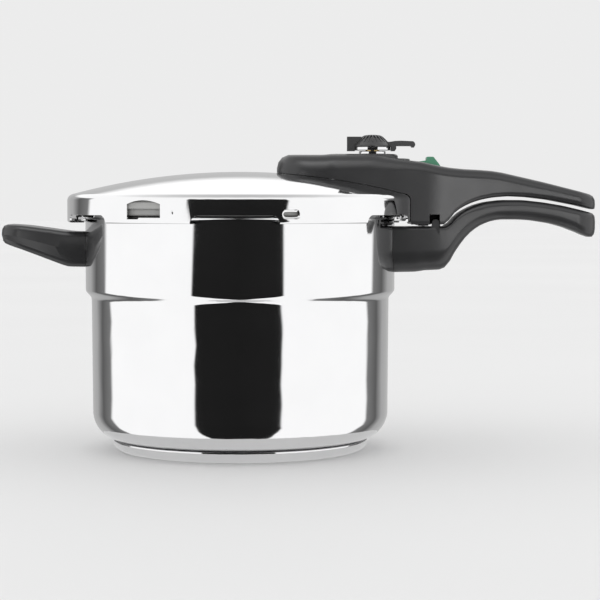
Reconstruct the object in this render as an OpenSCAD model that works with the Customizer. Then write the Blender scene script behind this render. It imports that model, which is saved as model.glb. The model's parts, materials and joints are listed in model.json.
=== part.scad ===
// Stovetop pressure cooker with a bayonet lid, two long handles and a short helper handle.
// Origin: centre of the flat underside. +Z is up and +X runs along the long handles.

/* [Pot] */
// Outer diameter of the pot above its shoulder
pot_d = 222; // [216:1:222]
// Thickness of the pot's steel wall
pot_wall = 1.0; // [0.8:0.1:1.2]
// Height of the shoulder's lower edge
shoulder_z = 108.6; // [90:0.5:115]
// Outer radius of the rounded bottom edge
bottom_round = 20; // [14:1:24]
// Height of the sandwich base under the shell
base_h = 8; // [7:0.5:9]
// Outer diameter of the sandwich base
base_d = 183.8; // [170:0.2:186]

/* [Lid] */
// Outer diameter of the lid's skirt
lid_d = 247.6; // [247.6:0.2:250]
// Radius of the lid's dome
dome_r = 460; // [420:10:520]
// Height of the dome's top
dome_top = 199.4; // [198.8:0.1:200]
// Thickness of the lid's steel sheet
lid_wall = 1.2; // [1.0:0.1:1.2]
// Angle covered by each bayonet tab
tab_angle = 32; // [30:1:33]
// Angle covered by each lug on the pot's rim
lug_angle = 26; // [22:1:26]

/* [Handles] */
// Distance from the pot's axis to the long handles' tips
reach = 255; // [250:1:262]
// Width of the long handles' grips
grip_w = 33; // [30:1:36]
// Distance from the pot's axis to the helper handle's tip
helper_reach = 170.5; // [166:0.5:174]

/* [Valve and lock] */
// Distance from the pot's axis to the valve
valve_x = 95; // [94:0.1:96]
// Distance from the valve's axis to the lever's tip
lever_reach = 30.6; // [24:0.2:32]
// Travel of the lock slider
lock_travel = 7; // [5:0.5:7]

/* [Hidden] */
$fn = 64;

steel = [0.80, 0.81, 0.82];
dull_steel = [0.62, 0.63, 0.65];
phenolic = [0.13, 0.13, 0.135];
silicone = [0.62, 0.62, 0.60];
brass = [0.80, 0.66, 0.36];
green = [0.30, 0.60, 0.46];

gap = 0.3;
pot_r = pot_d / 2;
lower_r = pot_r - 4.2;
wall_foot_r = lower_r - 0.6;
shoulder_h = 6.8;
rim_z = 168.5;
rim_sheet = 1.2;
lug_r = pot_r + 7;
notch_r = pot_r + 1.6;
base_r = base_d / 2;
base_round = 7;
cap_wall = 0.8;

lid_r = lid_d / 2;
lid_in = lid_r - lid_wall;
skirt_z = 163.4;
lip_h = 1.0;
lip_r = pot_r + 2.5;
tabs = 6;
tab_pitch = 360 / tabs;
slot_h = 5.6;
dome_z0 = dome_top - dome_r;
edge_round = 4.5;
seat_wall = 1.2;

valve_seat_z = 191.6;
valve_seat_r = 13;
side_seat_x = 70;
side_seat_y = 12.5;
side_seat_z = 195.2;
side_seat_r = 8;
handle_top = 212.1;
cavity_top = 205.5;
bracket_x = 48;

// The handles' mating parts: the peg on the lower handle slides in the upper handle's channel.
channel_r = [137.0, 144.2];
channel_top = 169;
peg_r = [138.3, 143.7];
peg_top = 165.6;
peg_half_angle = 2.6;
front_peg_at = -7.3;
front_peg_angle = 3.4;
root_w = 22.5;

// Height of the dome's outer surface at a distance r from the axis
function dome_z(r) = dome_z0 + sqrt(dome_r * dome_r - r * r);

// Points on an arc around c, from angle a0 to a1 in n steps
function arc(c, r, a0, a1, n = 8) =
    [for (i = [0:n]) let (a = a0 + (a1 - a0) * i / n) [c[0] + r * cos(a), c[1] + r * sin(a)]];

// Points on a dome of radius R from r0 to r1, and the same points the other way round
function dome_arc(R, r0, r1, n = 16) =
    [for (i = [0:n]) let (r = r0 + (r1 - r0) * i / n) [r, dome_z0 + sqrt(R * R - r * r)]];
function backwards(points) = [for (i = [len(points) - 1:-1:0]) points[i]];

// S-shaped step from radius r0 at height z0 to r1 at z1
function step_curve(r0, z0, r1, z1, n = 10) =
    [for (i = [0:n]) [r0 + (r1 - r0) * (1 - cos(180 * i / n)) / 2, z0 + (z1 - z0) * i / n]];

// Reading of a table of [x, value] pairs with its corners eased over a length h to each side
function eased(x, table, h) =
    (lookup(x - h, table) + 2 * lookup(x - h / 2, table) + 2 * lookup(x, table)
    + 2 * lookup(x + h / 2, table) + lookup(x + h, table)) / 8;

// How far a round end of radius r pulls a surface in at a distance d from the end
function nose(d, r) = d >= r ? 0 : r - sqrt(r * r - (r - d) * (r - d));

// One ring of a lofted body: a rounded rectangle of half width w between heights lo and hi.
// From its middle down, each flank leans in by a distance tuck.
function ring(x, w, lo, hi, r_lo, r_hi, tuck = 0, n = 6) =
    let (
        limit = min(w, (hi - lo) / 2) - 0.2,
        t = min(r_hi, limit),
        b = min(r_lo, limit - tuck / 2),
        mid = (hi + lo) / 2,
        foot = w - tuck
    )
    [for (q = [
        each arc([w - t, hi - t], t, 0, 90, n), each arc([t - w, hi - t], t, 90, 180, n),
        if (tuck > 0) [-w, mid],
        each arc([b - foot, lo + b], b, 180, 270, n), each arc([foot - b, lo + b], b, 270, 360, n),
        if (tuck > 0) [w, mid]
    ]) [x, q[0], q[1]]];

// A solid through rings that all have the same number of points
module loft(rings) {
    n = len(rings[0]);
    last = len(rings) - 1;
    polyhedron(
        points = [for (r = rings) each r],
        faces = [
            [for (i = [0:n - 1]) i],
            for (k = [0:last - 1], i = [0:n - 1]) let (j = (i + 1) % n)
                each [[k * n + i, (k + 1) * n + i, k * n + j],
                    [k * n + j, (k + 1) * n + i, (k + 1) * n + j]],
            [for (i = [n - 1:-1:0]) last * n + i]
        ]
    );
}

// Places of the rings from x0 to x1, closer together over the round ends r0 and r1
function stations(x0, x1, r0, r1, pitch) = [
    for (a = [0:18:89]) x0 + r0 * (1 - cos(a)),
    for (x = [x0 + r0:pitch:x1 - r1 - pitch / 2]) x,
    for (a = [0:18:91]) x1 - r1 + r1 * sin(a)
];

// Part of a turned body: the profile's points are [radius, height]
module sector(points, middle, angle) {
    rotate([0, 0, middle - angle / 2])
        rotate_extrude(angle = angle)
            polygon(points);
}

module sector_box(r0, r1, z0, z1, middle, angle) {
    sector([[r0, z0], [r1, z0], [r1, z1], [r0, z1]], middle, angle);
}

module tube(r_in, r_out, z0, z1) {
    translate([0, 0, z0])
        difference() {
            cylinder(h = z1 - z0, r = r_out);
            translate([0, 0, -1]) cylinder(h = z1 - z0 + 2, r = r_in);
        }
}

module rod(r, z0, z1) {
    translate([0, 0, z0]) cylinder(h = z1 - z0, r = r);
}

module block(x, y, z) {
    translate([x[0], y[0], z[0]]) cube([x[1] - x[0], y[1] - y[0], z[1] - z[0]]);
}

// Upright plate along X of the outline points, [x, z], and half thickness half_w
module side_plate(half_w, points) {
    rotate([90, 0, 0])
        translate([0, 0, -half_w])
            linear_extrude(height = 2 * half_w)
                polygon(points);
}

// Hexagonal nut of width af across its flats
module nut(af, r_in, z0, z1) {
    translate([0, 0, z0])
        difference() {
            cylinder(h = z1 - z0, d = af / cos(30), $fn = 6);
            translate([0, 0, -1]) cylinder(h = z1 - z0 + 2, r = r_in);
        }
}

// Compression spring of wire radius w, wound at radius r between z0 and z1
module coil(r, w, z0, z1, turns) {
    steps = 14;
    sides = 6;
    total = turns * steps;
    loft([for (i = [0:total])
        let (a = 360 * i / steps, z = z0 + w + (z1 - z0 - 2 * w) * i / total)
        [for (s = [0:sides - 1]) let (b = -360 * s / sides)
            [(r + w * cos(b)) * cos(a), (r + w * cos(b)) * sin(a), z + w * sin(b)]]]);
}

module pan_screw(r, head_r, head_h, z_head, z_tip) {
    // Head downwards, with a hexagon socket
    difference() {
        union() {
            rod(r, z_head + head_h, z_tip);
            rotate_extrude()
                polygon([[0, z_head], each arc([head_r - 1, z_head + 1], 1, -90, 0, 4),
                    [head_r, z_head + head_h], [0, z_head + head_h]]);
        }
        translate([0, 0, z_head - 1]) cylinder(h = 3, r = head_r * 0.5, $fn = 6);
    }
}

// ---------------------------------------------------------------- pot

module pot_shell() {
    floor_z = base_h;
    round_z = floor_z + bottom_round;
    flat_r = wall_foot_r - bottom_round;
    outer = [
        [0, floor_z],
        each arc([flat_r, round_z], bottom_round, -90, 0, 14),
        each step_curve(lower_r, shoulder_z, pot_r, shoulder_z + shoulder_h),
        [pot_r, rim_z - 3.2],
        each arc([pot_r + 2, rim_z - 3.2], 2, 180, 90, 6),
        [lug_r - 2.0, rim_z - rim_sheet],
        each arc([lug_r - 2.0, rim_z - rim_sheet - 0.8], 0.8, 90, 0, 4),
        [lug_r - rim_sheet, rim_z - 3.3],
        [lug_r, rim_z - 3.3],
        each arc([lug_r - 2.0, rim_z - 2.0], 2.0, 0, 90, 6),
        each arc([pot_r + 2, rim_z - 3.2], 3.2, 90, 180, 6)
    ];
    inner = [
        each step_curve(pot_r - pot_wall, shoulder_z + shoulder_h, lower_r - pot_wall, shoulder_z),
        each arc([flat_r, round_z], bottom_round - pot_wall, 0, -90, 14),
        [0, floor_z + pot_wall]
    ];
    color(steel)
        difference() {
            rotate_extrude($fn = 120) polygon([each outer, each inner]);
            for (i = [0:tabs - 1])
                sector_box(notch_r, lug_r + 4, rim_z - 4.5, rim_z + 1,
                    (i + 0.5) * tab_pitch, tab_pitch - lug_angle);
        }
}

module base_core() {
    color(dull_steel)
        rotate_extrude($fn = 120)
            polygon([[0, cap_wall],
                each arc([base_r - base_round, base_round], base_round - cap_wall, -90, 0, 6),
                [base_r - cap_wall, base_h - 0.6], [base_r - cap_wall - 0.6, base_h], [0, base_h]]);
}

module base_cap() {
    color(steel)
        rotate_extrude($fn = 120)
            polygon([[0, 0],
                each arc([base_r - base_round, base_round], base_round, -90, 0, 8),
                [base_r, base_h - 0.3], [base_r - cap_wall, base_h - 0.3],
                each arc([base_r - base_round, base_round], base_round - cap_wall, 0, -90, 6),
                [0, cap_wall]]);
}

// Bracket welded to the pot's wall: a curved plate and a level tongue with a hole for the handle's screw
tongue_z = [143, 147];
tongue_x = 132;
tongue_w = 8;
plate_t = 1.5;
bracket_hole_x = 123;
screw_r = 2.5;
screw_head_r = 4.6;
screw_head_h = 3.4;
screw_seat_z = 136;

module weld_bracket() {
    color(dull_steel)
        difference() {
            union() {
                sector_box(pot_r, pot_r + plate_t, 134, 156, 0, 15);
                difference() {
                    block([pot_r, tongue_x], [-tongue_w, tongue_w], tongue_z);
                    rod(pot_r + 0.4, 100, 180);
                }
            }
            translate([bracket_hole_x, 0, 0]) rod(screw_r + 0.05, 130, 160);
        }
}

// Room that a handle needs for its bracket and screw
module bracket_room() {
    sector_box(pot_r - 5, pot_r + plate_t + 0.15, 133.8, 156.2, 0, 15.4);
    block([pot_r - 5, tongue_x + 0.2], [-tongue_w - 0.2, tongue_w + 0.2],
        [tongue_z[0] - 0.1, tongue_z[1] + 0.1]);
    translate([bracket_hole_x, 0, 0]) {
        rod(screw_r + 0.15, screw_seat_z, 152);
        rod(screw_head_r + gap, 100, screw_seat_z);
    }
}

module handle_screw() {
    color(dull_steel)
        translate([bracket_hole_x, 0, 0])
            pan_screw(screw_r, screw_head_r, screw_head_h, screw_seat_z - screw_head_h, 150);
}

module pot_handle_bracket() weld_bracket();

module side_handle_bracket() mirror([1, 0, 0]) weld_bracket();

lower_top = [[108, 160.2], [148.3, 160.2], [151.2, 164], [155.5, 168.8], [162, 172.9], [168.5, 175.8],
    [176.5, 177.9], [187.3, 179.2], [201.7, 179.2], [216.1, 177.6], [230.5, 175.2], [244.9, 171.8],
    [256, 168.8]];
lower_bottom = [[108, 127.4], [127, 127.8], [131, 128.8], [144, 129.3], [148.6, 131.9], [154, 142.6],
    [161.8, 153.4], [166, 157.4], [172, 161.5], [179, 164.2], [185, 165.3], [198, 165.3], [208, 164.7],
    [222.6, 162.4], [232, 159.8], [242, 155.9], [249.3, 152.6], [256, 152.4]];
lower_brow = [[108, 2.6], [150, 2.6], [170, 4.5], [256, 4.5]];
lower_width = [[108, root_w], [140, root_w], [165, grip_w / 2 + 4], [190, grip_w / 2 + 2.3],
    [215, grip_w / 2 + 1.1], [240, grip_w / 2 + 0.2], [256, grip_w / 2]];
lower_edge = [[108, 17], [145, 17], [160, 10], [180, 7.5], [256, 7]];

// Peg with a round top that stands on the handle and fills the upper handle's channel
module peg(middle, angle) {
    round_r = (peg_r[1] - peg_r[0]) / 2;
    sector([
        [peg_r[0], 155], [peg_r[1], 155],
        each arc([(peg_r[0] + peg_r[1]) / 2, peg_top - round_r], round_r, 0, 180, 10)
    ], middle, angle);
}

module pot_handle() {
    x0 = 106;
    tip = 13;
    color(phenolic)
        difference() {
            union() {
                loft([for (x = stations(x0, reach, 1, tip, 3.6))
                    let (d = reach - x)
                    ring(x, eased(x, lower_width, 5) - nose(d, tip),
                        eased(x, lower_bottom, 2.4) + nose(d, 4), eased(x, lower_top, 2.4) - nose(d, 3),
                        eased(x, lower_edge, 4), eased(x, lower_brow, 4))]);
                peg(0, 2 * peg_half_angle);
                peg(front_peg_at, front_peg_angle);
            }
            rod(pot_r + 0.1, 100, 180);
            bracket_room();
        }
}

module pot_handle_screw() handle_screw();

helper_top = [[106, 156.6], [120, 156.6], [136.5, 158.9], [153, 161.1], [172, 162.4]];
helper_bottom = [[106, 131.4], [123.5, 131.6], [147.4, 140.8], [157, 144.4], [172, 149.4]];
helper_tuck = [[106, 3], [125, 4], [150, 5], [172, 5]];
helper_width = [[106, 19.5], [125, 20], [150, 22], [172, 22.5]];
helper_edge = [[106, 5], [125, 5], [150, 4], [172, 3.5]];

module side_handle() {
    tip = 13;
    color(phenolic)
        mirror([1, 0, 0])
            difference() {
                loft([for (x = stations(106, helper_reach, 1, tip, 4))
                    let (d = helper_reach - x)
                    ring(x, eased(x, helper_width, 5) - nose(d, tip),
                        eased(x, helper_bottom, 3) + nose(d, 3), eased(x, helper_top, 3) - nose(d, 6),
                        eased(x, helper_edge, 4), 4, eased(x, helper_tuck, 4))]);
                rod(pot_r + 0.1, 100, 180);
                bracket_room();
            }
}

module side_handle_screw() mirror([1, 0, 0]) handle_screw();

// ---------------------------------------------------------------- lid

window_w = 26.7;
window_z = [166.4, 179.2];
window_at = -120;
dent_l = 14;
dent_w = 6.4;
dent_depth = 1.6;
dent_z = 169.8;
dents = [-72.4, 47.6, 167.6];
pip_at = -109.8;

// Opening in the lid's skirt where the gasket can bulge out, with an arched head
module window_cut() {
    rise = 2.6;
    head_r = (window_w * window_w / 4 + rise * rise) / (2 * rise);
    half = asin(window_w / 2 / head_r);
    rotate([0, 0, window_at])
        translate([lid_in - 6, 0, 0])
            rotate([90, 0, 90])
                linear_extrude(height = 20)
                    polygon([[-window_w / 2, window_z[0]], [window_w / 2, window_z[0]],
                        each arc([0, window_z[1] - head_r], head_r, 90 - half, 90 + half, 8)]);
}

// Oblong dent pressed into the skirt, which keeps the gasket up
module dent(grow) {
    spread = (dent_l - dent_w) / 2;
    scoop = (dent_w * dent_w / 4 + dent_depth * dent_depth) / (2 * dent_depth);
    translate([lid_r - dent_depth + scoop, 0, dent_z]) {
        for (s = [-1, 1])
            translate([0, s * spread, 0]) sphere(r = scoop + grow);
        rotate([90, 0, 0]) cylinder(h = 2 * spread, r = scoop + grow, center = true);
    }
}

module lid_shell() {
    corner_r = lid_r - edge_round;
    corner_z = dome_z(corner_r) - edge_round - 0.3;
    inner_r = dome_r - lid_wall;
    lean = 75;
    outer = [
        each dome_arc(dome_r, 0, corner_r + edge_round * cos(lean)),
        each arc([corner_r, corner_z], edge_round, lean - 8, 0, 7)
    ];
    inner = [
        [lip_r, skirt_z + lip_h], [lid_in - 1.6, skirt_z + lip_h],
        each arc([lid_in - 1.6, skirt_z + lip_h + 1.6], 1.6, -90, 0, 4),
        each arc([corner_r, corner_z], edge_round - lid_wall, 0, lean - 8, 7),
        each backwards(dome_arc(inner_r, 0, corner_r + 0.6))
    ];
    color(steel)
        difference() {
            union() {
                rotate_extrude($fn = 120)
                    polygon([each outer, each arc([lid_r - 1.5, skirt_z + 1.5], 1.5, 0, -90, 4),
                        [lip_r, skirt_z], each inner]);
                translate([valve_x, 0, 0]) rod(valve_seat_r, 186.5, valve_seat_z);
                for (s = [-1, 1])
                    translate([side_seat_x, s * side_seat_y, 0]) rod(side_seat_r, 191.5, side_seat_z);
                for (a = dents)
                    rotate([0, 0, a])
                        intersection() {
                            dent(lid_wall);
                            sector_box(lid_r - 6, lid_r - 0.4, dent_z - 6, dent_z + 6, 0, 16);
                        }
                rotate([0, 0, pip_at]) translate([lid_r - 1.1, 0, 171]) sphere(r = 1.7);
            }
            for (a = dents)
                rotate([0, 0, a]) dent(0);
            translate([valve_x, 0, 0]) {
                rod(valve_seat_r - seat_wall, 180, valve_seat_z - seat_wall);
                rod(5.1, 180, 200);
            }
            for (s = [-1, 1])
                translate([side_seat_x, s * side_seat_y, 0]) {
                    rod(side_seat_r - seat_wall, 180, side_seat_z - seat_wall);
                    rod(4.1, 180, 200);
                }
            for (i = [0:tabs - 1])
                rotate([0, 0, (i + 0.5) * tab_pitch]) {
                    slot_angle = tab_pitch - tab_angle;
                    side = slot_angle / 2 - slot_h / lid_r * 180 / PI;
                    sector_box(lip_r - 4, lid_r + 2, skirt_z - 2, skirt_z + slot_h, 0, 2 * side);
                    for (s = [-1, 1])
                        rotate([0, 0, s * side])
                            translate([lip_r - 4, 0, skirt_z])
                                rotate([0, 90, 0]) cylinder(h = 20, r = slot_h);
                }
            window_cut();
        }
}

module lid_gasket() {
    bead_r = lid_in - 0.4;
    body_r = lid_in - 2.9;
    lip_in = 108;
    low = rim_z + gap;
    color(silicone)
        rotate_extrude($fn = 120)
            polygon([
                [lip_in, low], [body_r - 0.8, low], [body_r, low + 0.8], [body_r, 172.6],
                [bead_r, 173.6], [bead_r, 177.6], [bead_r - 2.6, 180.4], [bead_r - 5, 181.2],
                [lip_in + 1, 183.0], [lip_in, 182.0],
                each arc([114, 176.2], 3.4, 90, -90, 8),
                [lip_in, low + 1.4]
            ]);
}

upper_top = [[25, 211.5], [60, 211.4], [66, 212.1], [97, 212.1], [113, 208.4], [121.5, 207.2],
    [128.4, 206.6], [143.3, 203.2], [150, 202.1], [160.6, 201.1], [170, 200.7], [180, 199.9],
    [187.3, 198.7], [216.1, 192.1], [241.3, 185.7], [256, 181.7]];
upper_bottom = [[25, 188], [60, 176], [96, 161.8], [146.8, 161.8], [150.6, 168.2], [154.8, 172],
    [160.2, 175.2], [165.6, 177.6], [172, 179.5], [179.8, 181], [191.6, 181.9], [205.3, 181.3],
    [221, 179.4], [241.3, 175.4], [256, 171.7]];
upper_width = [[25, 23], [55, 26], [110, 26], [140, 25.2], [165, grip_w / 2 + 5], [190, grip_w / 2 + 2.7],
    [215, grip_w / 2 + 1.3], [240, grip_w / 2 + 0.3], [256, grip_w / 2]];
upper_edge = [[25, 8], [45, 12], [100, 12], [118, 8], [145, 7], [256, 5.5]];
upper_brow = [[25, 3], [120, 3], [150, 2.4], [170, 3.5], [256, 3.5]];
handle_x0 = 26.4;

// Everything the lid takes up under its handle, with a little room
module lid_envelope() {
    top_r = lid_r + 0.25;
    corner_r = lid_r - edge_round;
    rotate_extrude($fn = 120)
        polygon([[0, 140],
            [top_r, 140], [top_r, dome_z(corner_r) - edge_round],
            each arc([corner_r, dome_z(corner_r) - edge_round - 0.1], edge_round + 0.25, 5, 67, 6),
            each backwards(dome_arc(dome_r + 0.2, 0, corner_r + 0.8))]);
}

boss_r = 18.6;
boss_round = 2.4;
guard_r = [21.2, 27];
guard_top = 208.8;
guard_angle = 92;
strap_x = [126.2, 128.4];
strap_y = 12;
button_x = [127.5, 143.5];
button_y = 7;
slot_floor = 201.2;
rivet_x = 135.5;
rivet_r = 1.2;
rivet_top = 206;
cover_screw = [130.8, 17];
cover_screw_r = 1.25;
leg_z = [198.0, 199.6];
bolt_y = -9.5;
bolt_z = 166;
bolt_r = 2;
bolt_tip = 136.6;
cover_z = [161.9, 163.5];

module lid_handle() {
    tip = 12;
    round_in = 20;
    cavity_half = side_seat_y + side_seat_r + gap;
    color(phenolic)
        difference() {
            union() {
                loft([for (x = stations(handle_x0, reach - 0.3, round_in, tip, 3.8))
                    let (d0 = x - handle_x0, d1 = reach - 0.3 - x)
                    ring(x, eased(x, upper_width, 6) - nose(d0, round_in) - nose(d1, tip),
                        eased(x, upper_bottom, 2.4) + nose(d1, 2),
                        eased(x, upper_top, 2.4) - nose(d0, 9.5) - nose(d1, 4.5),
                        eased(x, upper_brow, 6), eased(x, upper_edge, 4))]);
                translate([valve_x, 0, 0]) {
                    rotate_extrude()
                        polygon([[0, 200], [boss_r, 200],
                            each arc([boss_r - boss_round, handle_top - boss_round], boss_round, 0, 90, 5),
                            [0, handle_top]]);
                    // Low guard behind the groove that the lever's tip swings over
                    sector([[guard_r[0], 200], [guard_r[1], 200],
                        each arc([guard_r[1] - 0.9, guard_top - 0.9], 0.9, 0, 90, 4),
                        [guard_r[0], guard_top]], 0, guard_angle);
                }
            }
            lid_envelope();
            // Cavity over the dome
            block([38, 60], [-14, 14], [180, cavity_top]);
            block([57, 119], [-cavity_half, cavity_half], [180, cavity_top]);
            // Groove between the valve's boss and the guard
            translate([valve_x, 0, 0])
                sector_box(boss_r - 0.2, guard_r[0], guard_top - 2.4, handle_top + 5, 0, guard_angle + 14);
            // Shaft for the lock bar, from the cavity's roof down to the cover plate
            block([125.9, 135.7], [-strap_y - 0.6, strap_y + 0.6], [150, 200]);
            block([125.9, 149.5], [-6.5, 6.5], [196.5, 200]);
            // Track for the lock button and the slot in its floor
            block([button_x[0] - 0.9, button_x[1] + lock_travel + 0.9], [-button_y - 0.4, button_y + 0.4],
                [slot_floor, 215]);
            block([130.2, 147.6], [-3.3, 3.3], [190, 215]);
            // Channel that the lower handle's peg leaves through, and the bolt's hole
            sector_box(channel_r[0], channel_r[1], 150, channel_top, -6.6, 20);
            translate([130, bolt_y, bolt_z]) rotate([0, 90, 0]) cylinder(h = 9, r = bolt_r + 0.25);
            // Valve's chimney, the indicator's hole and the handle screw's counterbore
            translate([valve_x, 0, 0]) rod(chimney_r, 190, 220);
            translate([side_seat_x, side_seat_y, 0]) rod(3, 190, 220);
            translate([bracket_x, 0, 0]) {
                rod(2.3, 190, 220);
                rod(4.5, 209, 220);
            }
            for (s = [-1, 1])
                translate([cover_screw[0], s * cover_screw[1], 0]) rod(cover_screw_r + 0.05, 150, 172);
        }
}

// Inverted channel welded on the dome, tapped for the handle's screw
module lid_handle_bracket() {
    half = 9;
    sheet = 1.8;
    roof = cavity_top - 0.1;
    color(dull_steel)
        difference() {
            block([bracket_x - 8, bracket_x + 8], [-half, half], [190, roof]);
            block([bracket_x - 9, bracket_x + 9], [sheet - half, half - sheet], [185, roof - sheet]);
            rotate_extrude($fn = 120)
                polygon([[0, 150], [90, 150], each backwards(dome_arc(dome_r + 0.02, 0, 90))]);
            translate([bracket_x, 0, 0]) rod(2.05, 190, 220);
        }
}

module lid_handle_screw() {
    color(dull_steel)
        translate([bracket_x, 0, 0])
            difference() {
                union() {
                    rod(2, 199.5, 209);
                    rod(4.2, 209, 211.2);
                }
                translate([-5, -0.5, 210.4]) cube([10, 1, 2]);
                translate([-0.5, -5, 210.4]) cube([1, 10, 2]);
            }
}

// ---------------------------------------------------------------- operating valve

pipe_r = 5;
pipe_top = 219;
ring_top = 214.2;
ring_r = 9.7;
chimney_r = 8.4;

module steam_pipe() {
    color(brass)
        translate([valve_x, 0, 0])
            difference() {
                union() {
                    rod(pipe_r, 180.5, pipe_top);
                    rod(8.8, valve_seat_z, valve_seat_z + 2);
                }
                rod(2, 170, 230);
                // Conical seat for the plunger
                translate([0, 0, pipe_top - 1.6]) cylinder(h = 1.61, r1 = 2, r2 = 3.6);
            }
}

module steam_pipe_seal() {
    color(silicone) translate([valve_x, 0, 0]) tube(pipe_r + 0.1, 9.5, 188.4, valve_seat_z - seat_wall);
}

module steam_pipe_nut() {
    color(brass) translate([valve_x, 0, 0]) nut(18, pipe_r + 0.02, 184.2, 188.4);
}

module steam_filter() {
    color(steel)
        translate([valve_x, 0, 0])
            difference() {
                rotate_extrude()
                    polygon([[0, 176.4], each arc([6.4, 178], 1.6, -90, 0, 4), [8, 184],
                        [pipe_r + 0.05, 184], [pipe_r + 0.05, 181], [7, 180], [7, 177.6], [0, 177.6]]);
                for (i = [0:5])
                    rotate([0, 0, 60 * i]) translate([4, 0, 170]) cylinder(h = 9, r = 0.8);
            }
}

module valve_ring_nut() {
    thread_r = chimney_r - gap;
    thread_z = cavity_top - 2.5;
    seat_z = handle_top + 0.1;
    color(steel)
        translate([valve_x, 0, 0])
            rotate_extrude()
                polygon([[pipe_r + 0.05, thread_z], [thread_r, thread_z], [thread_r, seat_z],
                    [ring_r, seat_z], each arc([ring_r - 0.5, ring_top - 0.5], 0.5, 0, 90, 3),
                    [pipe_r + 0.05, ring_top]]);
}

module valve_plunger() {
    color(brass)
        translate([valve_x, 0, pipe_top])
            rotate_extrude()
                polygon([[0, -1.2], [2.0, -1.2], [3.6, 0.4], [4.2, 0.4], [4.2, 1.4], [1.1, 1.4], [1.1, 2.6],
                    [0, 2.6]]);
}

module valve_spring() {
    color(dull_steel) translate([valve_x, 0, 0]) coil(2.4, 0.4, pipe_top + 1.4, 224, 3);
}

sleeve_z = [214.7, 217.4];
sleeve_r = 12.9;
plate_z = [sleeve_z[1], sleeve_z[1] + 0.7];
neck_r = 8.8;
cone_r = 13.4;
shoulder = [9.4, 222.3];
crown_z = 224.9;
ridges = 20;
ridge_w = 1.1;

// Half outline of the knob's cap above the lever's plate, grown by a fit
function cap_outline(fit) = [
    [0, plate_z[1]], [cone_r + fit, plate_z[1]], [cone_r + fit, plate_z[1] + 0.4 + fit],
    [shoulder[0] + fit, shoulder[1] + fit], [8.2 + fit, 223.3 + fit], [5.6, 224.4 + fit], [0, crown_z + fit]
];

// Bright band under the knob, which turns on the steam pipe
module knob_sleeve() {
    color(steel)
        translate([valve_x, 0, 0])
            rotate_extrude()
                polygon([[pipe_r + 0.06, sleeve_z[0]],
                    each arc([sleeve_r - 0.5, sleeve_z[0] + 0.5], 0.5, -90, 0, 3),
                    each arc([sleeve_r - 0.5, sleeve_z[1] - 0.5], 0.5, 0, 90, 3),
                    [pipe_r + 0.06, sleeve_z[1]]]);
}

// Ridges over the knob's crown, for the fingers, grown by a fit
module crown_ridges(fit) {
    for (i = [0:ridges - 1])
        rotate([0, 0, 360 * i / ridges])
            side_plate(ridge_w / 2 + fit, [[2.4, 224], [2.4, 226 + fit], [5.6, 225.6 + fit],
                [7.6 + fit, 224.6 + fit], [8.8 + fit, 223.5 + fit], [11.2 + fit, 221 + fit],
                [11.2 + fit, 220.3], [8, 222]]);
}

module knob_lever() {
    arm_w = 5;
    arm_z = 217.9;
    root_x = [sleeve_r + gap, 17];
    index_x = [-18.2, -7];
    index_z = [214.3, 224.6];
    color(phenolic)
        translate([valve_x, 0, 0])
            difference() {
                union() {
                    rod(cone_r + 0.2, plate_z[0], plate_z[1]);
                    // Arm with a turned-down tip, and its root beside the bright band
                    side_plate(arm_w, [[8, arm_z], [lever_reach - 3, arm_z],
                        [lever_reach - 2.3, arm_z - 1], [lever_reach - 0.8, arm_z - 1],
                        each arc([lever_reach - 2.6, arm_z + 1], 2.6, -10, 70, 6),
                        [20.5, 221.7], [16, 221.5], [12.5, 220.9], [8, 220.9]]);
                    side_plate(arm_w, [[root_x[0], index_z[0]], [root_x[1] - 1, index_z[0]],
                        [root_x[1], index_z[0] + 1.6], [root_x[1], arm_z + 0.1], [root_x[0], arm_z + 0.1]]);
                    // Index block on the other side
                    block(index_x, [-4, 4], index_z);
                }
                rod(neck_r + 0.2, 210, 230);
                rotate_extrude() polygon(cap_outline(0.05));
                crown_ridges(0.05);
                rod(sleeve_r + gap, 210, sleeve_z[1]);
            }
}

module knob_cap() {
    color(phenolic)
        translate([valve_x, 0, 0])
            difference() {
                union() {
                    rotate_extrude() polygon(cap_outline(0));
                    rod(neck_r, plate_z[0], plate_z[1] + 0.1);
                    crown_ridges(0);
                }
                rod(pipe_r + 0.4, 210, pipe_top + 4);
                rod(3.4, 210, 224.01);
            }
}

// ---------------------------------------------------------------- safety relief valve

module relief_body() {
    color(brass)
        translate([side_seat_x, -side_seat_y, 0])
            difference() {
                union() {
                    rod(4, 187, side_seat_z + 1);
                    translate([0, 0, side_seat_z]) cylinder(h = 2, d = 14, $fn = 6);
                    rod(5, side_seat_z + 2, 204.8);
                }
                rod(1.6, 180, 210);
                rod(3.6, 197.4, 203.8);
                rod(2, 203, 210);
            }
}

module relief_seal() {
    color(silicone)
        translate([side_seat_x, -side_seat_y, 0]) tube(4.1, 6.6, 192.6, side_seat_z - seat_wall);
}

module relief_nut() {
    color(brass) translate([side_seat_x, -side_seat_y, 0]) nut(11, 4.02, 189.4, 192.6);
}

relief_ball_r = 2.4;
relief_seat_z = 197.4 + sqrt(relief_ball_r * relief_ball_r - 1.6 * 1.6);

module relief_ball() {
    color(steel) translate([side_seat_x, -side_seat_y, relief_seat_z + 0.02]) sphere(r = relief_ball_r);
}

module relief_spring() {
    color(dull_steel)
        translate([side_seat_x, -side_seat_y, 0]) coil(2.4, 0.35, relief_seat_z + 1.0, 203.8, 3);
}

// ---------------------------------------------------------------- pressure indicator

pin_r = 1.8;

module indicator_bush() {
    color(brass)
        translate([side_seat_x, side_seat_y, 0])
            difference() {
                union() {
                    rod(4, 188, side_seat_z + 2);
                    translate([0, 0, side_seat_z]) cylinder(h = 2.4, d = 13, $fn = 6);
                    rod(3.6, side_seat_z + 2, 204);
                }
                rod(pin_r + 0.08, 180, 210);
            }
}

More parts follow.
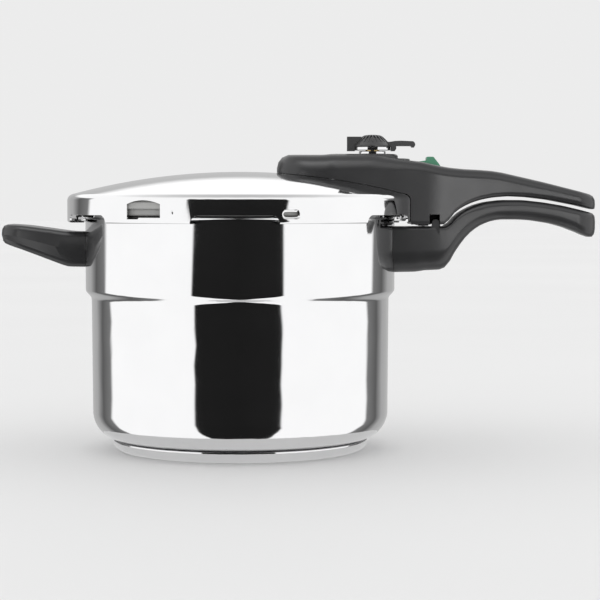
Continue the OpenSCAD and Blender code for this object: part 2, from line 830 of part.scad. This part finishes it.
module indicator_nut() {
    color(brass)
        translate([side_seat_x, side_seat_y, 0]) nut(11, 4.02, 190.4, side_seat_z - seat_wall - 0.1);
}

module indicator_pin() {
    color([0.72, 0.10, 0.09])
        translate([side_seat_x, side_seat_y, 0])
            rotate_extrude()
                polygon([[0, 181], [3.4, 181], [3.4, 182.4], [pin_r, 182.4], [pin_r, 204.6], [2.5, 205],
                    [2.5, 210.2], each arc([1.7, 210.2], 0.8, 0, 90, 4), [0, 211]]);
}

module indicator_seal() {
    color(silicone) translate([side_seat_x, side_seat_y, 0]) tube(pin_r, 3.2, 182.4, 183.6);
}

// ---------------------------------------------------------------- lid lock

module lock_button() {
    color(green)
        difference() {
            union() {
                // Side outline: a thin ramp, a steep thumb face and a slope towards the grip
                side_plate(button_y, [[button_x[0], slot_floor + gap], [button_x[1], slot_floor + gap],
                    [button_x[1], 203.6], [142.2, 205.6], each arc([137.8, 208.5], 1.7, 20, 90, 4),
                    [134.4, 210.2], [133.8, 209.8], [133.6, 207.8], [132.6, 207.4], [button_x[0], 206.8]]);
                block([131.5, 139.5], [-3, 3], [leg_z[1], slot_floor + 0.4]);
            }
            translate([rivet_x, 0, 0]) rod(rivet_r + 0.05, 190, rivet_top + 1);
        }
}

module lock_bar() {
    color(dull_steel)
        difference() {
            union() {
                block([strap_x[0], 141.4], [-5.8, 5.8], leg_z);
                block(strap_x, [-strap_y, strap_y], [163.8, leg_z[1]]);
                translate([strap_x[0] + 0.5, bolt_y, bolt_z])
                    rotate([0, 90, 0]) cylinder(h = bolt_tip - strap_x[0] - 0.5, r = bolt_r);
            }
            translate([rivet_x, 0, 0]) rod(rivet_r + 0.05, 190, rivet_top + 1);
        }
}

module lock_rivet() {
    color(steel)
        translate([rivet_x, 0, 0]) {
            rod(rivet_r, leg_z[0], rivet_top);
            rod(2 * rivet_r, leg_z[0] - 0.9, leg_z[0]);
        }
}

// Leaf spring with two arms beside the rivet's path. The bumps on the arms press on the lock bar's
// leg from below and give the slider its two stops.
module lock_spring() {
    leaf_z = [196.6, 197];
    bump_r = 1.2;
    color(steel)
        difference() {
            union() {
                block([146.6, 149.4], [-5.8, 5.8], leaf_z);
                for (s = [-1, 1])
                    translate([0, s * 4.6, 0]) {
                        block([140.4, 147], [-1.2, 1.2], leaf_z);
                        translate([142, 1.2, leaf_z[0]]) rotate([90, 0, 0]) cylinder(h = 2.4, r = bump_r);
                    }
            }
            block([138, 150], [-7, 7], [190, leaf_z[0]]);
        }
}

module lock_cover() {
    color(phenolic)
        difference() {
            union() {
                block([126.1, 135.5], [-strap_y - 0.4, strap_y + 0.4], cover_z);
                for (s = [-1, 1])
                    translate([cover_screw[0], s * cover_screw[1], 0]) rod(3.6, 160.9, 161.7);
                block([127.6, 134], [-cover_screw[1], cover_screw[1]], [160.9, 161.7]);
                block([127.6, 134], [-8, 8], [161.6, 162]);
            }
            for (s = [-1, 1])
                translate([cover_screw[0], s * cover_screw[1], 0]) rod(cover_screw_r + 0.05, 150, 172);
        }
}

module lock_cover_screws() {
    color(dull_steel)
        for (s = [-1, 1])
            translate([cover_screw[0], s * cover_screw[1], 0]) rod(cover_screw_r, 160.6, 171);
}

pot_shell();
base_core();
base_cap();
pot_handle_bracket();
pot_handle();
pot_handle_screw();
side_handle_bracket();
side_handle();
side_handle_screw();
lid_shell();
lid_gasket();
lid_handle();
lid_handle_bracket();
lid_handle_screw();
steam_pipe();
steam_pipe_seal();
steam_pipe_nut();
steam_filter();
valve_ring_nut();
valve_plunger();
valve_spring();
knob_cap();
knob_lever();
knob_sleeve();
relief_body();
relief_seal();
relief_nut();
relief_ball();
relief_spring();
indicator_bush();
indicator_nut();
indicator_pin();
indicator_seal();
lock_button();
lock_bar();
lock_rivet();
lock_spring();
lock_cover();
lock_cover_screws();
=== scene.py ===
"""Stovetop pressure cooker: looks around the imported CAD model.

Metres, +Z up, +X along the long handles. The camera looks from -Y.
"""

import json
import math

import bpy
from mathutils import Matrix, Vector

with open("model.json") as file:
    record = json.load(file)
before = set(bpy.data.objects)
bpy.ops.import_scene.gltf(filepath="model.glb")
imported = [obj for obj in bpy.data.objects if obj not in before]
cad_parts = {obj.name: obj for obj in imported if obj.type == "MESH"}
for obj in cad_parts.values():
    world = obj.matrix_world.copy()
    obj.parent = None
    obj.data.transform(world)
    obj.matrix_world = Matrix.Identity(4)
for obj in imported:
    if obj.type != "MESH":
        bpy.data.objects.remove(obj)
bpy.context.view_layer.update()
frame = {"nodes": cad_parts, "record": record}
nodes = frame["nodes"]
scene = bpy.context.scene

# ---------------------------------------------------------------- camera

CAMERA_DISTANCE = 1.442
CAMERA_SIDE = 0.043
EYE_HEIGHT = 0.181
AIM_HEIGHT = 0.1071
CAMERA_REACH = 60
LENS_MM = 120
SENSOR_MM = 36


def point_at(obj, place, aim):
    obj.location = place
    obj.rotation_euler = (Vector(aim) - Vector(place)).to_track_quat("-Z", "Y").to_euler()


def make_camera():
    data = bpy.data.cameras.new("camera")
    data.lens = LENS_MM
    data.sensor_width = SENSOR_MM
    data.clip_end = CAMERA_REACH
    camera = bpy.data.objects.new("camera", data)
    scene.collection.objects.link(camera)
    point_at(camera, (CAMERA_SIDE, -CAMERA_DISTANCE, EYE_HEIGHT), (CAMERA_SIDE, 0, AIM_HEIGHT))
    scene.camera = camera


make_camera()

# ---------------------------------------------------------------- node helpers


def grey(level):
    return (level, level, level, 1)


class Nodes:
    """Short calls for building a node tree."""

    def __init__(self, tree):
        self.tree = tree

    def add(self, kind, inputs=None, **props):
        node = self.tree.nodes.new(kind)
        for key, value in props.items():
            setattr(node, key, value)
        for key, value in (inputs or {}).items():
            if isinstance(value, bpy.types.NodeSocket):
                self.tree.links.new(value, node.inputs[key])
            else:
                node.inputs[key].default_value = value
        return node

    def math(self, operation, a, b=0.0, c=0.0):
        return self.add("ShaderNodeMath", {0: a, 1: b, 2: c}, operation=operation).outputs[0]

    def noise(self, vector, scale, detail=3.0, rough=0.5):
        inputs = {"Vector": vector, "Scale": scale, "Detail": detail, "Roughness": rough}
        return self.add("ShaderNodeTexNoise", inputs).outputs["Fac"]

    def spread(self, value, low, high):
        """Maps noise around 0.5 to the range low to high."""
        inputs = {"Value": value, "From Min": 0.3, "From Max": 0.7, "To Min": low, "To Max": high}
        return self.add("ShaderNodeMapRange", inputs).outputs[0]

    def ramp_between(self, value, limits):
        """Rises from 0 to 1 while the value goes from one limit to the other."""
        inputs = {"Value": value, "From Min": limits[0], "From Max": limits[1]}
        return self.add("ShaderNodeMapRange", inputs).outputs[0]

    def mix(self, factor, a, b):
        node = self.add("ShaderNodeMix", data_type="RGBA")
        for index, value in ((0, factor), (6, a), (7, b)):
            if isinstance(value, bpy.types.NodeSocket):
                self.tree.links.new(value, node.inputs[index])
            else:
                node.inputs[index].default_value = value
        return node.outputs[2]

    def bump(self, height, strength, distance, normal=None):
        inputs = {"Height": height, "Strength": strength, "Distance": distance}
        if normal is not None:
            inputs["Normal"] = normal
        return self.add("ShaderNodeBump", inputs).outputs[0]


def new_material(name):
    material = bpy.data.materials.new(name)
    material.use_nodes = True
    material.node_tree.nodes.clear()
    n = Nodes(material.node_tree)
    shader = n.add("ShaderNodeBsdfPrincipled")
    out = n.add("ShaderNodeOutputMaterial")
    n.tree.links.new(shader.outputs[0], out.inputs[0])
    place = n.add("ShaderNodeTexCoord").outputs["Object"]
    return material, n, shader, place


def wire(n, shader, **inputs):
    for key, value in inputs.items():
        name = key.replace("_", " ").title().replace("Ior", "IOR")
        if isinstance(value, bpy.types.NodeSocket):
            n.tree.links.new(value, shader.inputs[name])
        else:
            shader.inputs[name].default_value = value


def around_axis(n, place):
    """Distance from the pot's axis and height, as two sockets."""
    split = n.add("ShaderNodeSeparateXYZ", {0: place})
    x2 = n.math("MULTIPLY", split.outputs[0], split.outputs[0])
    r = n.math("SQRT", n.math("MULTIPLY_ADD", split.outputs[1], split.outputs[1], x2))
    return r, split.outputs[2]


# ---------------------------------------------------------------- materials
# Noise scales are in waves per metre, and grain depths and bump distances in metres.


def polished_steel():
    material, n, shader, place = new_material("polished_steel")
    r, z = around_axis(n, place)
    # Lines left by turning the sheet under a polishing wheel: they run round the pot
    ring_place = n.add("ShaderNodeCombineXYZ", {0: r, 1: z}).outputs[0]
    lines = n.noise(ring_place, 2600, 2.0)
    smudge = n.noise(place, 26, 4.0, 0.6)
    waves = n.noise(place, 9, 1.0)
    rough = n.math("ADD", n.spread(smudge, 0.045, 0.075), n.spread(lines, -0.012, 0.012))
    tone = n.mix(n.spread(smudge, 0.0, 1.0), (0.735, 0.735, 0.74, 1), (0.76, 0.76, 0.765, 1))
    relief = n.bump(lines, 0.05, 0.00002)
    relief = n.bump(waves, 0.02, 0.004, relief)
    wire(n, shader, base_color=tone, metallic=1.0, roughness=rough, normal=relief)
    return material


def satin_steel():
    material, n, shader, place = new_material("satin_steel")
    grain = n.noise(place, 1800, 3.0)
    cloud = n.noise(place, 60, 3.0)
    tone = n.mix(n.spread(cloud, 0.0, 1.0), (0.50, 0.50, 0.51, 1), (0.62, 0.62, 0.63, 1))
    rough = n.spread(grain, 0.24, 0.38)
    wire(n, shader, base_color=tone, metallic=1.0, roughness=rough, normal=n.bump(grain, 0.15, 0.00004))
    return material


def aluminium_core():
    material, n, shader, place = new_material("aluminium_core")
    grain = n.noise(place, 900, 3.0)
    tone = n.mix(n.spread(grain, 0.0, 1.0), (0.52, 0.52, 0.53, 1), (0.68, 0.68, 0.69, 1))
    wire(n, shader, base_color=tone, metallic=1.0, roughness=n.spread(grain, 0.35, 0.5),
         normal=n.bump(grain, 0.2, 0.00005))
    return material


def brass():
    material, n, shader, place = new_material("brass")
    grain = n.noise(place, 1400, 3.0)
    cloud = n.noise(place, 90, 4.0)
    tone = n.mix(n.spread(cloud, 0.0, 1.0), (0.60, 0.43, 0.18, 1), (0.80, 0.62, 0.30, 1))
    wire(n, shader, base_color=tone, metallic=1.0, roughness=n.spread(cloud, 0.22, 0.36),
         normal=n.bump(grain, 0.12, 0.00004))
    return material


def moulded(name, dark, light, rough_low, rough_high, grain_depth):
    """Moulded plastic with a fine grain, faint flow marks and a little handling polish."""
    material, n, shader, place = new_material(name)
    grain = n.noise(place, 2400, 2.0)
    skin = n.noise(place, 320, 3.0, 0.6)
    wear = n.noise(place, 22, 4.0, 0.6)
    tone = n.mix(n.spread(wear, 0.0, 1.0), dark, light)
    relief = n.bump(skin, 0.18, grain_depth * 3)
    relief = n.bump(grain, 0.35, grain_depth, relief)
    wire(n, shader, base_color=tone, roughness=n.spread(wear, rough_low, rough_high),
         normal=relief, ior=1.52)
    return material


def phenolic():
    return moulded("phenolic", (0.020, 0.020, 0.021, 1), (0.026, 0.026, 0.027, 1),
                   0.30, 0.36, 0.00003)


def knob_plastic():
    return moulded("knob_plastic", (0.034, 0.034, 0.035, 1), (0.044, 0.044, 0.045, 1),
                   0.34, 0.44, 0.00002)


def green_plastic():
    return moulded("green_plastic", (0.068, 0.245, 0.145, 1), (0.092, 0.300, 0.180, 1),
                   0.28, 0.40, 0.00002)


def red_plastic():
    return moulded("red_plastic", (0.38, 0.012, 0.012, 1), (0.50, 0.020, 0.018, 1),
                   0.25, 0.38, 0.00002)


def silicone():
    material, n, shader, place = new_material("silicone")
    skin = n.noise(place, 700, 3.0)
    cloud = n.noise(place, 40, 3.0)
    tone = n.mix(n.spread(cloud, 0.0, 1.0), (0.30, 0.30, 0.295, 1), (0.38, 0.38, 0.37, 1))
    wire(n, shader, base_color=tone, roughness=n.spread(skin, 0.42, 0.58),
         normal=n.bump(skin, 0.2, 0.00005), ior=1.41)
    return material


MAKERS = (polished_steel, satin_steel, aluminium_core, brass, phenolic, knob_plastic, green_plastic,
          red_plastic, silicone)
materials = {make.__name__: make() for make in MAKERS}


def dress_cad_nodes():
    """Gives each CAD node the procedural material of its slot."""
    for part in frame["record"]["subparts"]:
        obj = nodes[part["node"]]
        obj.data.materials.clear()
        obj.data.materials.append(materials[part["material_slot"]])


dress_cad_nodes()

# ---------------------------------------------------------------- surface finish of the CAD nodes

MERGE_DISTANCE = 2e-6
SMOOTH_BELOW = math.radians(32)
MOULDED_EDGE = 0.0004
TURNED_EDGE = 0.0002
MOULDED = ("pot_handle", "side_handle", "lid_handle", "lock_button", "knob_lever", "knob_cap")
MACHINED = ("valve_ring_nut", "knob_sleeve", "lock_bar", "lid_handle_bracket", "pot_handle_bracket",
            "side_handle_bracket", "steam_pipe_nut", "relief_nut", "indicator_nut", "relief_body",
            "indicator_bush")


def smoothing_group():
    """Welds a node's faces together and shades them smooth, with sharp edges where they break."""
    tree = bpy.data.node_groups.new("smooth_by_angle", "GeometryNodeTree")
    tree.interface.new_socket("Geometry", in_out="INPUT", socket_type="NodeSocketGeometry")
    tree.interface.new_socket("Geometry", in_out="OUTPUT", socket_type="NodeSocketGeometry")
    n = Nodes(tree)
    start = n.add("NodeGroupInput").outputs[0]
    weld = n.add("GeometryNodeMergeByDistance", {"Geometry": start, "Distance": MERGE_DISTANCE})
    plain = n.add("GeometryNodeRemoveAttribute", {"Geometry": weld.outputs[0], "Name": "custom_normal"})
    faces = n.add("GeometryNodeSetShadeSmooth", {"Geometry": plain.outputs[0]}, domain="FACE")
    bend = n.add("GeometryNodeInputMeshEdgeAngle").outputs[0]
    soft = n.math("LESS_THAN", bend, SMOOTH_BELOW)
    edges = n.add("GeometryNodeSetShadeSmooth", {"Geometry": faces.outputs[0], "Shade Smooth": soft},
                  domain="EDGE")
    n.add("NodeGroupOutput", {0: edges.outputs[0]})
    return tree


def finish_surfaces():
    """Smooth shading on every node, and small rounded edges on the moulded and machined ones."""
    group = smoothing_group()
    widths = {**{name: MOULDED_EDGE for name in MOULDED}, **{name: TURNED_EDGE for name in MACHINED}}
    for name, obj in nodes.items():
        obj.modifiers.new("smooth", "NODES").node_group = group
        if name in widths:
            bevel = obj.modifiers.new("edges", "BEVEL")
            bevel.width = widths[name]
            bevel.segments = 2
            bevel.limit_method = "ANGLE"
            bevel.angle_limit = SMOOTH_BELOW
        obj.modifiers.new("weighted", "WEIGHTED_NORMAL").keep_sharp = True


finish_surfaces()

# ---------------------------------------------------------------- stage

FLOOR_RADIUS = 14.0
FLOOR_TONES = (0.79, 0.81)
NEAR_RADIUS = 0.114
DISC_SEGMENTS = 96
# Brightness of the room around the pot: share of a half turn from the camera's side, and level
ROOM = ((0.0, 0.014), (0.181, 0.016), (0.187, 1.26), (0.635, 1.26),
        (0.655, 0.24), (0.73, 0.13), (0.80, 0.46), (1.0, 0.58))
# The ceiling's level, how its edge leans down at the back and how high it lies, and the fade overhead
CEILING = 1.26
CEILING_LEAN = (0.08, 0.94)
CEILING_EDGE = (0.31, 0.38)
ZENITH = 0.62
ZENITH_FADE = (0.66, 1.0)
SOFT_LIGHT = 1.04
BACKDROP = 0.84
# Place, aim, size and power of each softbox, and the material slots that they light
SOFTBOXES = {
    "overhead": ((-0.10, -0.45, 0.95), (0.07, 0, 0.20), (0.4, 0.4), 1.4),
    "left": ((-0.34, -1.0, 0.14), (-0.15, 0, 0.15), (0.16, 0.3), 0.7),
    "right": ((0.50, -1.0, 0.17), (0.20, 0, 0.18), (0.16, 0.3), 1.5),
}
SOFTBOX_SLOTS = ("phenolic", "knob_plastic", "green_plastic", "red_plastic", "silicone")


def floor_disc(name, radius):
    mesh = bpy.data.meshes.new(name)
    angles = [2 * math.pi * i / DISC_SEGMENTS for i in range(DISC_SEGMENTS)]
    points = [(radius * math.cos(angle), radius * math.sin(angle), 0) for angle in angles]
    mesh.from_pydata(points, [], [tuple(range(DISC_SEGMENTS))])
    obj = bpy.data.objects.new(name, mesh)
    scene.collection.objects.link(obj)
    return obj


def make_floor():
    """A pale floor. Polished steel sees only the part of it right under the pot."""
    material, n, shader, place = new_material("floor")
    cloud = n.noise(place, 1.5, 3.0)
    tone = n.mix(n.spread(cloud, 0.0, 1.0), grey(FLOOR_TONES[0]), grey(FLOOR_TONES[1]))
    wire(n, shader, base_color=tone, roughness=0.7)
    floor = floor_disc("floor", FLOOR_RADIUS)
    floor.visible_glossy = False
    near = floor_disc("floor_near", NEAR_RADIUS)
    near.visible_camera = near.visible_diffuse = near.visible_shadow = False
    for obj in (floor, near):
        obj.data.materials.append(material)


def make_world():
    """White room with a dark opening on the camera's side, which steel shows as a dark band."""
    world = bpy.data.worlds.new("studio")
    scene.world = world
    world.use_nodes = True
    n = Nodes(world.node_tree)
    n.tree.nodes.clear()
    direction = n.add("ShaderNodeTexCoord").outputs["Generated"]
    split = n.add("ShaderNodeSeparateXYZ", {0: direction})
    towards_camera = n.math("MULTIPLY", split.outputs[1], -1.0)
    turn = n.math("ABSOLUTE", n.math("ARCTAN2", split.outputs[0], towards_camera))
    ramp = n.add("ShaderNodeValToRGB", {0: n.math("DIVIDE", turn, math.pi)})
    elements = ramp.color_ramp.elements
    while len(elements) < len(ROOM):
        elements.new(0.5)
    for element, (where, level) in zip(elements, ROOM):
        element.position = where
        element.color = grey(level)
    # A bright ceiling that comes lower at the back of the room and fades towards the zenith
    upright = n.math("MULTIPLY", split.outputs[2], CEILING_LEAN[1])
    leaning = n.math("MULTIPLY_ADD", split.outputs[1], CEILING_LEAN[0], upright)
    above = n.ramp_between(leaning, CEILING_EDGE)
    ceiling = n.mix(n.ramp_between(split.outputs[2], ZENITH_FADE), grey(CEILING), grey(ZENITH))
    room = n.mix(above, ramp.outputs[0], ceiling)
    rays = n.add("ShaderNodeLightPath")
    soft = n.mix(rays.outputs["Is Glossy Ray"], grey(SOFT_LIGHT), room)
    seen = n.mix(rays.outputs["Is Camera Ray"], soft, grey(BACKDROP))
    background = n.add("ShaderNodeBackground", {0: seen, 1: 1.0})
    out = n.add("ShaderNodeOutputWorld")
    n.tree.links.new(background.outputs[0], out.inputs[0])


def softbox(name, place, aim, size, energy, lit):
    """An area light that only reaches the pieces in the collection lit."""
    data = bpy.data.lights.new(name, "AREA")
    data.shape = "RECTANGLE"
    data.size, data.size_y = size
    data.energy = energy
    obj = bpy.data.objects.new(name, data)
    scene.collection.objects.link(obj)
    point_at(obj, place, aim)
    obj.light_linking.receiver_collection = lit


def make_lights():
    """Softboxes that shape the plastic parts. The steel and the floor are lit by the room alone."""
    lit = bpy.data.collections.new("lit_by_softboxes")
    for part in frame["record"]["subparts"]:
        if part["material_slot"] in SOFTBOX_SLOTS:
            lit.objects.link(nodes[part["node"]])
    for name, (place, aim, size, energy) in SOFTBOXES.items():
        softbox(name, place, aim, size, energy, lit)


make_floor()
make_world()
make_lights()
scene.view_settings.view_transform = "Standard"
